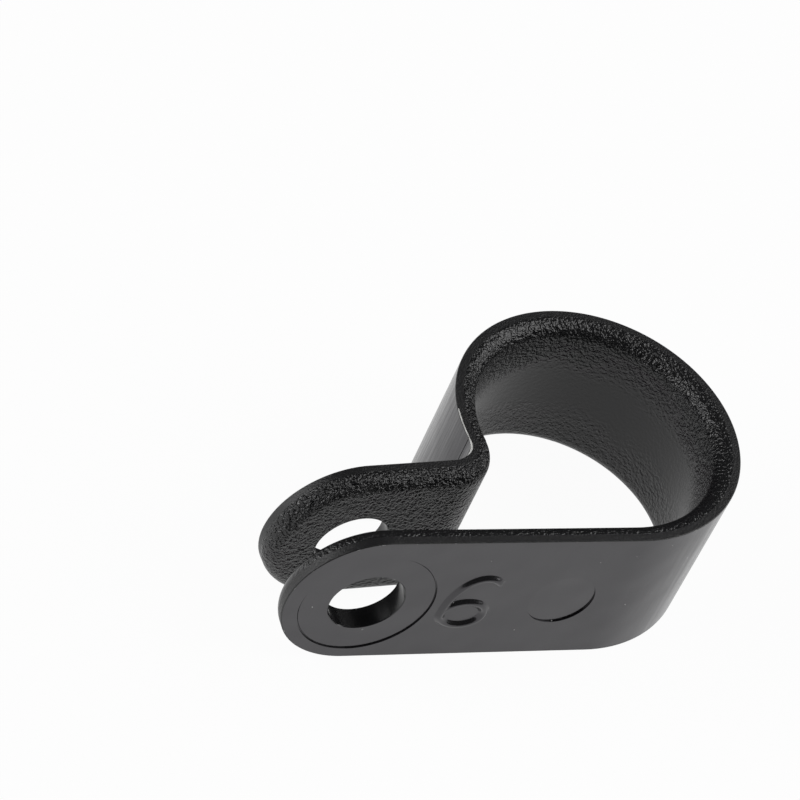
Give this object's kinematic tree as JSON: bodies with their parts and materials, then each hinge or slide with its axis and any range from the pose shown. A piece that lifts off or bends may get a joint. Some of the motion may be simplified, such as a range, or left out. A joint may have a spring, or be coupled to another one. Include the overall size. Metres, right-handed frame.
{
  "type": "p clip",
  "caption": "Black nylon P-shaped strap clip: a long flat tab runs into a round cable loop and back through a tight bend to a short tab, with one screw hole through both tabs.",
  "frame": {"origin": "on the screw hole's axis, where it meets the panel under the long tab", "axes": "+X along the long tab from the screw towards the loop, +Y from the panel towards the short tab and the screw's head, +Z along the cable"},
  "size_m": [0.0274, 0.0165, 0.0095],
  "materials": {
    "nylon": "black moulded nylon, satin smooth outside, fine spark-eroded grain inside and on the edges"
  },
  "bodies": {
    "root": {"clip": "nylon"}
  },
  "joints": []
}
